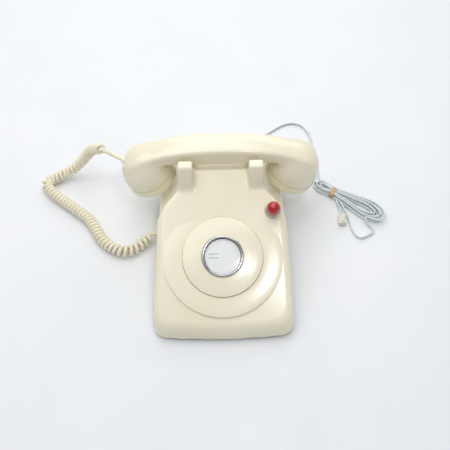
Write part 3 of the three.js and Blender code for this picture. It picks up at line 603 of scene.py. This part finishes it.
def make_dial_blank(ivory, chrome, phenolic, card, ink, acetate):
    place = on_face(0, BOSS_Y, BOSS_SLOPE, BOSS_RISE)
    blank = lathe("dial_blank_plate", rounded([
        (22.1, -6), (46.8, -6), (46.8, 1.9), (40, 2.75), (32, 3.6), (25, 4), (22.1, 4),
    ], 0.8), ivory, place, 144)
    finish(blank, "telephone", "ivory_shell", "dial_blank")
    ring = lathe("card_ring_chrome", rounded([
        (21.4, 2.7), (22.0, 2.7), (22.0, 4.3), (24.5, 4.35), (24.3, 5.1), (23.2, 5.8), (22.2, 5.8),
        (21.4, 5.2),
    ], 0.35), chrome, place, 96)
    finish(ring, "telephone", "bright_chrome", "card_ring")
    cup = lathe("card_cup_wall", [
        (0, -8), (21.9, -8), (21.9, 2.5), (20.9, 2.5), (20.9, 0.2), (0, 0.2),
    ], phenolic, place)
    finish(cup, "telephone", "black_moulding", "card_cup")
    disc = lathe("card_disc", rounded([(0, 0.55), (20.8, 0.55), (20.8, 2.3), (0, 2.3)], 0.2), card, place)
    finish(disc, "telephone", "card_paper", "number_card")
    pane = rounded([(0, 2.6), (21.3, 2.6), (21.3, 3.2), (0, 3.2)], 0.15)
    window = lathe("card_window_disc", pane, acetate, place)
    finish(window, "telephone", "clear_window", "card_window")
    make_card_print(ink, place)


def make_card_print(ink, place):
    """Two rows of plain dashes on the card."""
    verts, faces = [], []
    for height in (3.0, -1.2):
        for k in range(5):
            left = -15.5 + 2.3 * k
            right = left + 1.5 + 0.3 * (k % 2)
            add_box(verts, faces, (left, height - 0.45, 2.25), (right, height + 0.45, 2.36))
    marks = make_object("card_print_dashes", [place @ Vector(v) for v in verts], faces, ink, smooth=False)
    finish(marks, "telephone", "card_paper")


def add_box(verts, faces, low, high):
    """Adds one box's corners and sides to the lists."""
    base = len(verts)
    for z in (low[2], high[2]):
        verts += [(low[0], low[1], z), (high[0], low[1], z), (high[0], high[1], z), (low[0], high[1], z)]
    for quad in ((0, 3, 2, 1), (4, 5, 6, 7), (0, 1, 5, 4), (1, 2, 6, 5), (2, 3, 7, 6), (3, 0, 4, 7)):
        faces.append(tuple(base + i for i in quad))


# ---------------------------------------------------------------- lamp


def make_lamp(red, chrome):
    place = on_face(LAMP_X, LAMP_Y)
    middle = LAMP_HEIGHT - DOME_RADIUS
    rising, falling = np.linspace(0, math.pi / 2, 16), np.linspace(math.pi / 2, 0, 10)
    dome = [(DOME_RADIUS * math.cos(a), middle + DOME_RADIUS * math.sin(a)) for a in rising]
    core = [(LENS_BORE * math.cos(a), middle + LENS_BORE * math.sin(a)) for a in falling]
    stem = [(LENS_BORE, 0.6), (6.7, 0.6), (6.7, 5.35), (7.5, 5.35), (DOME_RADIUS, 5.8)]
    profile = [(0, core[0][1])] + core[1:] + stem + dome[:-1] + [(0, LAMP_HEIGHT)]
    lens = lathe("lamp_lens_dome", profile, red, place, 64)
    finish(lens, "telephone", "red_lens", "lamp_lens")
    bezel = lathe("lamp_bezel_ring", rounded([
        (7.05, 0.3), (9.75, 0.3), (9.7, 2.0), (8.4, 4.6), (7.05, 5),
    ], 0.5), chrome, place, 64)
    finish(bezel, "telephone", "bright_chrome", "lamp_bezel")


# ---------------------------------------------------------------- handset


def cup_axes(x, z):
    """Distances in the nearer cup's own frame: outwards and up its axis."""
    side = np.where(x < 0, -1.0, 1.0)
    dx, dz = x * side - CUP_X, z - CUP_Z
    up = dx * math.sin(CUP_TILT) + dz * math.cos(CUP_TILT)
    out = dx * math.cos(CUP_TILT) - dz * math.sin(CUP_TILT)
    return out, up


def handset_field(x, y, z):
    """The arched handle and its two open cups."""
    ax = np.abs(x)
    past_ears = np.clip(ax - EAR_OUTER - 2, 0, None) / (HANDLE_REACH - EAR_OUTER - 2)
    under = HANDLE_BOTTOM - HANDLE_ARCH * past_ears ** 1.6
    crown = 0.011 * (y - HANDLE_Y) ** 2
    over = HANDLE_TOP - BACK_ARCH * (ax / HANDLE_REACH) ** 2.5 - crown
    dy = np.abs(y - HANDLE_Y) - HANDLE_HALF_WIDTH
    section = smooth_max(smooth_max(dy, z - over, 3.5), under - z, 5)
    handle = smooth_max(section, ax - 113, 11)
    out, up = cup_axes(x, z)
    radius = np.hypot(out, y - HANDLE_Y)
    lift = np.clip(up - 15, 0, None)
    cup = (np.sqrt((radius / 31) ** 2 + (lift / 36.5) ** 2 + 1e-6) - 1) * 31
    f = smooth_min(handle, cup, 9)
    f = smooth_max(f, SEAM - up, 0.8)
    bore = smooth_max(radius - 27.5, up - 26, 2)
    return np.maximum(f, -bore)


def make_handset(ivory, painted_hole_shade):
    verts, faces = surface_net(handset_field, (-123, 42, 40), (123, 111, 127), 1.45)
    shell = make_object("handset_moulding", verts, faces, ivory)
    finish(shell, "handset", "ivory_shell", "handset_shell")
    for name, side in (("transmitter", -1), ("receiver", 1)):
        cap = lathe(f"{name}_cap_moulding", rounded([
            (0, 1.3), (21, 0.7), (27, 0), (31.3, 1.6), (31.5, 6), (31.3, 11.9), (27.5, 11.9),
            (27.5, 3.4), (0, 3.4),
        ], 1.2), ivory, in_cup(side), 120)
        finish(cap, "handset", "ivory_shell", f"{name}_cap")
        # The sound holes are black discs on a solid cap: painted shade in place of open holes.
        holes = perforations(f"{name}_cap_holes", side, painted_hole_shade)
        finish(holes, "handset", "black_moulding")


def perforations(name, side, material):
    """Sound holes of a cap, laid out in rings by Geometry Nodes, drawn as black discs: painted shade
    standing in for open holes.
    """
    tree = bpy.data.node_groups.new(name, "GeometryNodeTree")
    tree.interface.new_socket("Hole Radius", in_out="INPUT", socket_type="NodeSocketFloat")
    tree.interface.new_socket("Ring Spacing", in_out="INPUT", socket_type="NodeSocketFloat")
    tree.interface.new_socket("Geometry", in_out="OUTPUT", socket_type="NodeSocketGeometry")
    sizes = add_node(tree, "NodeGroupInput")
    hole = add_node(tree, "GeometryNodeMeshCylinder", {"Vertices": 12, "Depth": 0.35 * MM},
                    {"Radius": sizes.outputs["Hole Radius"]})
    joined = add_node(tree, "GeometryNodeJoinGeometry")
    for ring, count in enumerate((6, 12, 18)):
        reach = add_node(tree, "ShaderNodeMath", {"operation": "MULTIPLY"},
                         {0: sizes.outputs["Ring Spacing"]})
        reach.inputs[1].default_value = ring + 1
        circle = add_node(tree, "GeometryNodeMeshCircle", {"Vertices": count}, {"Radius": reach.outputs[0]})
        spread = add_node(tree, "GeometryNodeInstanceOnPoints",
                          links={"Points": circle.outputs["Mesh"], "Instance": hole.outputs["Mesh"]})
        tree.links.new(spread.outputs["Instances"], joined.inputs["Geometry"])
    real = add_node(tree, "GeometryNodeRealizeInstances", links={"Geometry": joined.outputs["Geometry"]})
    paint = add_node(tree, "GeometryNodeSetMaterial", {"Material": material},
                     {"Geometry": real.outputs["Geometry"]})
    result = add_node(tree, "NodeGroupOutput")
    tree.links.new(paint.outputs["Geometry"], result.inputs["Geometry"])
    carrier = bpy.data.objects.new(name + "_carrier", bpy.data.meshes.new(name + "_carrier"))
    bpy.context.scene.collection.objects.link(carrier)
    modifier = carrier.modifiers.new("holes", "NODES")
    modifier.node_group = tree
    for item in tree.interface.items_tree:
        if item.in_out == "INPUT":
            modifier[item.identifier] = {"Hole Radius": 1.1 * MM, "Ring Spacing": 5.2 * MM}[item.name]
    mesh = bpy.data.meshes.new_from_object(carrier.evaluated_get(bpy.context.evaluated_depsgraph_get()))
    bpy.data.objects.remove(carrier)
    place = in_cup(side)
    place.translation *= MM
    mesh.transform(place @ Matrix.Translation((0, 0, 0.95 * MM)))
    piece = bpy.data.objects.new(name, mesh)
    bpy.context.scene.collection.objects.link(piece)
    return piece


# ---------------------------------------------------------------- cords

# Routes in millimetres: the straight lead from the handset's gland, the middle of the curled part, then
# the line cord from the housing to its bundle, the loop that droops from it, and the plug's end.
LEAD_ROUTE = [(-118.6, 78.3, 92), (-127, 83, 92.5), (-136, 90.5, 90), (-143.4, 97.6, 86.3)]
CURL_ROUTE = [
    (-144.4, 98.4, 85.5), (-152, 106.5, 79), (-162.5, 115, 64.5), (-172, 121, 47.5), (-183.5, 123.5, 29.5),
    (-199, 122, 14.5), (-214.5, 117, 8.9), (-227, 110, 8.2), (-228, 101, 8.2), (-217, 88, 8.2),
    (-201, 75, 8.2), (-184, 61, 8.2), (-169, 48, 8.2), (-160, 34, 8.2), (-151, 18, 8.2), (-137, 5, 8.2),
    (-122, -1, 8.2), (-109, 3, 8.2), (-99, 11, 9.5), (-90, 20, 12),
]
LINE_ROUTE = [
    (30, 131, 9), (31, 142, 4), (38, 160, 2.4), (50, 176, 2.2), (67, 190, 2.2), (85, 202, 2.2),
    (100, 206, 2.2), (113, 201, 2.2), (122, 187, 2.2), (125, 167, 2.2), (127, 140, 2.2), (129, 120, 2.4),
    (131, 108, 3),
]
LOOP_ROUTE = [
    (191, 25, 2.6), (184, 19, 2.4), (175, 15, 2.4), (168, 19, 2.4), (164, 30, 2.4), (162, 42, 2.4),
    (159, 54, 2.6),
]
TAIL_ROUTE = [(150, 68, 3), (152, 62, 2.9), (153, 56, 2.9), (153, 49.5, 2.9)]
CURL_RADIUS = 7.5
WIRE_RADIUS = 2.4
CURL_PITCH, CURL_STRETCH = 5.05, 2.8
POINTS_A_TURN = 14
HANK_PLACE, HANK_TURN = (146, 84), -0.62
HANK_LOOPS = 6


def smooth_route(points, spacing):
    """Points a fixed distance apart on a Catmull-Rom curve through the route."""
    points = np.array(points, float)
    ends = np.vstack([2 * points[0] - points[1], points, 2 * points[-1] - points[-2]])
    dense = []
    for i in range(1, len(ends) - 2):
        p0, p1, p2, p3 = ends[i - 1:i + 3]
        for t in np.linspace(0, 1, 24, endpoint=False):
            dense.append(0.5 * (2 * p1 + (p2 - p0) * t + (2 * p0 - 5 * p1 + 4 * p2 - p3) * t ** 2
                                + (3 * p1 - p0 - 3 * p2 + p3) * t ** 3))
    dense = np.array(dense + [points[-1]])
    along = np.concatenate([[0], np.cumsum(np.linalg.norm(np.diff(dense, axis=0), axis=1))])
    places = np.linspace(0, along[-1], max(int(along[-1] / spacing), 2))
    return np.stack([np.interp(places, along, dense[:, i]) for i in range(3)], 1)


def unit(v):
    return v / np.linalg.norm(v)


def carried_frames(points):
    """Side and up directions carried along a line without twisting."""
    tangents = np.gradient(points, axis=0)
    tangents /= np.linalg.norm(tangents, axis=1, keepdims=True)
    side = unit(np.cross(tangents[0], (0.0, 0.0, 1.0)))
    frames = []
    for tangent in tangents:
        side = unit(side - tangent * np.dot(side, tangent))
        frames.append((side, np.cross(side, tangent)))
    return frames


def sweep(name, points, sections, material):
    """A closed tube through the points; sections holds one list of (across, up) offset vectors a point."""
    count = len(sections[0])
    verts = [p + offset for p, section in zip(points, sections) for offset in section]
    faces = []
    for i in range(len(points) - 1):
        for k in range(count):
            n = (k + 1) % count
            faces.append((i * count + k, i * count + n, (i + 1) * count + n, (i + 1) * count + k))
    faces.append(tuple(range(count)))
    last = (len(points) - 1) * count
    faces.append(tuple(last + k for k in reversed(range(count))))
    piece = make_object(name, verts, faces, material)
    outwards(piece)
    crease(piece, 60)
    return piece


def round_tube(name, points, radius, material, sides=10):
    frames = carried_frames(points)
    angles = [2 * math.pi * k / sides for k in range(sides)]
    sections = [[radius * (math.cos(a) * side + math.sin(a) * up) for a in angles] for side, up in frames]
    return sweep(name, points, sections, material)


def length_of(points):
    return float(np.linalg.norm(np.diff(points, axis=0), axis=1).sum())


def curled_line():
    """Centre line of the whole handset cord: lead, helix, and a short run into the housing."""
    axis = smooth_route(CURL_ROUTE, 0.4)
    frames = carried_frames(axis)
    total = length_of(axis)
    coil = CURL_RADIUS - WIRE_RADIUS
    step = total / (len(axis) - 1)
    turn, points = 0.0, []
    for i, (centre, (side, up)) in enumerate(zip(axis, frames)):
        along = i * step
        stretched = math.exp(-((along - 70) / 45) ** 2)
        stretched += 0.7 * math.exp(-((total - along - 25) / 30) ** 2)
        pitch = CURL_PITCH + CURL_STRETCH * stretched
        turn += 2 * math.pi * step / pitch
        ease = min(1.0, along / 7, (total - along) / 7)
        reach = coil * math.sin(ease * math.pi / 2)
        points.append((turn, centre + reach * (math.cos(turn) * side + math.sin(turn) * up)))
    wanted = np.arange(0, points[-1][0], 2 * math.pi / POINTS_A_TURN)
    turns = [t for t, _ in points]
    line = np.array([p for _, p in points])
    helix = np.stack([np.interp(wanted, turns, line[:, i]) for i in range(3)], 1)
    lead = smooth_route(LEAD_ROUTE, 2.5)
    return np.vstack([lead, helix[2:], [CURL_ROUTE[-1]], [(-88.9, 22, 12)]])


def make_handset_cord(vinyl):
    line = curled_line()
    cord = round_tube("curly_handset_cord", line, WIRE_RADIUS, vinyl)
    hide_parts("handset_cord_lead", "handset_cord_coil")
    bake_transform(cord)


def hank_point(x, y, z):
    """A point given along the bundle, across it and above the table."""
    c, s = math.cos(HANK_TURN), math.sin(HANK_TURN)
    return (HANK_PLACE[0] + x * c - y * s, HANK_PLACE[1] + x * s + y * c, z)


def hank_line():
    """The bundled loops, wide at the free end and gathered at the band."""
    points = []
    for loop in range(HANK_LOOPS):
        column, row = loop % 3, loop // 3
        height = 2.7 + 4.3 * row
        waist = 1.2 + 2.1 * column
        wide = 4.5 + 3.6 * column + 1.8 * row
        far = 55 + 6.5 * column + 3.2 * row
        near = 20 + 4 * column
        points += [
            hank_point(-near * 0.62, waist + 1.6, height), hank_point(0, waist, height),
            hank_point(26, (waist + wide) / 2, height), hank_point(far * 0.75, wide, height),
            hank_point(far, wide * 0.45, height), hank_point(far, -wide * 0.45, height),
            hank_point(far * 0.75, -wide, height), hank_point(26, -(waist + wide) / 2, height),
            hank_point(0, -waist, height), hank_point(-near * 0.62, -waist - 1.6, height),
            hank_point(-near, -1 - column, height), hank_point(-near, 1 + column, height),
        ]
    return points


def flat_sections(line, first, last):
    """Outlines of the flat cord, which lies tilted and stands on edge between points first and last."""
    sections = []
    for i, tangent in enumerate(np.gradient(line, axis=0)):
        flat = unit(np.cross(tangent, (0.0, 0.0, 1.0)))
        tall = unit(np.cross(flat, tangent))
        on_edge = np.clip(min((i - first) / 12, (last - i) / 12), 0, 1)
        twist = math.radians(55 + 35 * on_edge)
        wide = math.cos(twist) * flat + math.sin(twist) * tall
        thin = -math.sin(twist) * flat + math.cos(twist) * tall
        outline = []
        for sign in (1, -1):
            for a in np.linspace(-math.pi / 2, math.pi / 2, 6):
                outline.append(sign * (wide * (1.15 + 1.0 * math.cos(a)) + thin * 1.0 * math.sin(a)))
        sections.append(outline)
    return sections


def make_line_cord(vinyl, polycarbonate, gold, rubber):
    loops = hank_line()
    route = LINE_ROUTE + loops[:-5] + LOOP_ROUTE + [
        (154, 68, 3), hank_point(0, -1.2, 2.7), hank_point(-14, -3, 2.7), hank_point(-17, 3, 3),
        hank_point(-8, 4, 3), hank_point(2, 1.2, 3),
    ] + TAIL_ROUTE
    line = smooth_route(route, 2.0)
    first = len(smooth_route(LINE_ROUTE, 2.0))
    last = len(line) - len(smooth_route(TAIL_ROUTE, 2.0))
    cord = sweep("flat_line_cord", line, flat_sections(line, first, last), vinyl)
    finish(cord, "telephone", "silver_cord", "line_cord", "line_cord_tail", "line_cord_loop",
           "line_cord_hank")
    plug = make_plug(polycarbonate, gold)
    band = make_band(rubber)


def bevelled_box(name, low, high, radius, material):
    verts, faces = [], []
    add_box(verts, faces, low, high)
    piece = make_object(name, verts, faces, material)
    bm = bmesh.new()
    bm.from_mesh(piece.data)
    bmesh.ops.bevel(bm, geom=bm.edges[:], offset=radius * MM, segments=3, affect="EDGES", profile=0.5)
    bm.to_mesh(piece.data)
    bm.free()
    piece.data.polygons.foreach_set("use_smooth", [True] * len(piece.data.polygons))
    return piece


def make_plug(polycarbonate, gold):
    x, front, back = 153.0, 34.7, 48.6
    body = bevelled_box("line_plug_body", (x - 4.8, front, 0.5), (x + 4.8, back, 7.1), 0.5, polycarbonate)
    latch = bevelled_box("line_plug_latch", (x - 1.6, front + 2, 7.0), (x + 1.6, back - 0.5, 8.4), 0.35,
                         polycarbonate)
    verts, faces = [], []
    for k in range(4):
        left = x - 2.2 + 1.27 * k
        add_box(verts, faces, (left, front - 0.02, 0.7), (left + 0.45, front + 5, 2.2))
    contacts = make_object("line_plug_contacts", verts, faces, gold, smooth=False)
    finish(body, "telephone", "plug_moulding", "line_plug")
    finish(latch, "telephone", "plug_moulding")
    finish(contacts, "telephone", "gong_brass")
    return [body, latch, contacts]


def make_band(rubber):
    """Rubber band round the bundle's waist."""
    half, high, corner = 7.0, 9.3, 2.6
    outline = []
    for cx, cz, start in ((half - corner, high - corner, 0), (-half + corner, high - corner, 90),
                          (-half + corner, 0.2 + corner, 180), (half - corner, 0.2 + corner, 270)):
        for a in range(start, start + 91, 15):
            turn = math.radians(a)
            outline.append((cx + corner * math.cos(turn), cz + corner * math.sin(turn)))
    count = len(outline)
    verts, faces = [], []
    middle = high / 2
    for x, shrink in ((-3.2, 1.0), (3.2, 1.0), (3.2, 0.88), (-3.2, 0.88)):
        for y, z in outline:
            verts.append(hank_point(x, y * shrink, middle + (z - middle) * shrink))
    for ring in range(4):
        for k in range(count):
            a, b = ring * count, ((ring + 1) % 4) * count
            n = (k + 1) % count
            faces.append((a + k, a + n, b + n, b + k))
    band = make_object("bundle_rubber_band", verts, faces, rubber)
    outwards(band)
    crease(band)
    finish(band, "telephone", "tan_band", "cord_band")
    return band


# ---------------------------------------------------------------- finishes of the frame's own pieces


def paint_frame(finishes):
    """Gives each CAD piece that still shows the finish of its slot."""
    for row in frame["record"]["subparts"]:
        piece = NODES[row["node"]]
        material = finishes[row["material_slot"]]
        piece.data.materials.clear()
        piece.data.materials.append(material)


make_camera()
ivory = aged_ivory_abs()
curly_vinyl = ivory_vinyl()
silver_vinyl = silver_satin_vinyl()
chrome = polished_chrome()
phenolic = black_phenolic()
acetate = clear_acetate()
card = white_card()
red = red_lamp_acrylic()
steel = zinc_plated_steel()
brass = lacquered_brass()
polycarbonate = plug_polycarbonate()
band_rubber = tan_rubber_band()
paint_frame({
    "ivory_shell": ivory, "ivory_cord": curly_vinyl, "bright_chrome": chrome, "card_paper": card,
    "clear_window": acetate, "red_lens": red, "black_moulding": phenolic, "zinc_steel": steel,
    "gong_brass": brass, "coil_wire": taped_winding(), "foot_rubber": foot_rubber(),
    "silver_cord": silver_vinyl, "plug_moulding": polycarbonate, "tan_band": band_rubber,
})
make_handset_cord(curly_vinyl)
make_line_cord(silver_vinyl, polycarbonate, gold_contact(), band_rubber)
make_studio()
make_housing(ivory)
make_dial_blank(ivory, chrome, phenolic, card, grey_print(), acetate)
make_lamp(red, chrome)
# Black phenolic also colours the caps' sound-hole discs, painted shade in place of open holes.
make_handset(ivory, phenolic)
